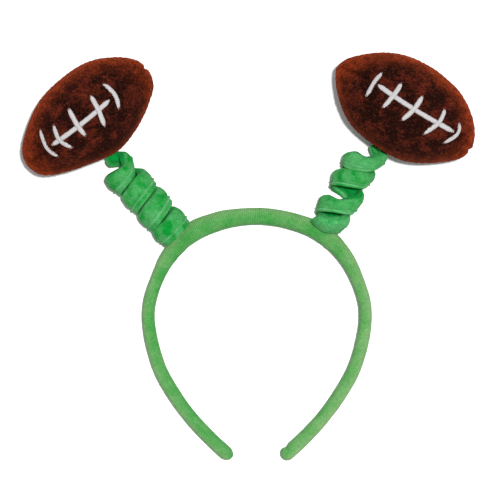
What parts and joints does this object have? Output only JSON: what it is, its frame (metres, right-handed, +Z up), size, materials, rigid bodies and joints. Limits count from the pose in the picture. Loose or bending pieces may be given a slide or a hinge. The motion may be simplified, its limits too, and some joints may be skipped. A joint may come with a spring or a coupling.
{
  "type": "head bopper",
  "caption": "Velour-covered headband with fabric-sleeved coil springs that carry stuffed plush footballs with white lacing, lying on its side.",
  "frame": {"origin": "middle of the footprint of the whole bopper, on the plane that it lies on", "axes": "+Z up, out of the front of the lying bopper; +Y from the band's tips towards its crown; +X to the wearer's left, as seen from the front to the viewer's right"},
  "size_m": [0.2626, 0.2366, 0.0503],
  "materials": {
    "band_velour": "short-pile velour with a fine knit rib across the band",
    "spring_velour": "short-pile velour sleeve, gathered and creased over the spring wire",
    "ball_plush": "brushed velour plush, mottled where the pile lies in different directions",
    "lace_thread": "white satin-stitch thread"
  },
  "bodies": {
    "root": {"headband": "band_velour", "left_spring": "spring_velour", "right_spring": "spring_velour", "left_ball": "ball_plush", "right_ball": "ball_plush", "left_lace_spine": "lace_thread", "left_lace_cross_1": "lace_thread", "left_lace_cross_2": "lace_thread", "left_lace_cross_3": "lace_thread", "left_lace_cross_4": "lace_thread", "left_lace_cross_5": "lace_thread", "right_lace_spine": "lace_thread", "right_lace_cross_1": "lace_thread", "right_lace_cross_2": "lace_thread", "right_lace_cross_3": "lace_thread", "right_lace_cross_4": "lace_thread", "right_lace_cross_5": "lace_thread"}
  },
  "joints": []
}
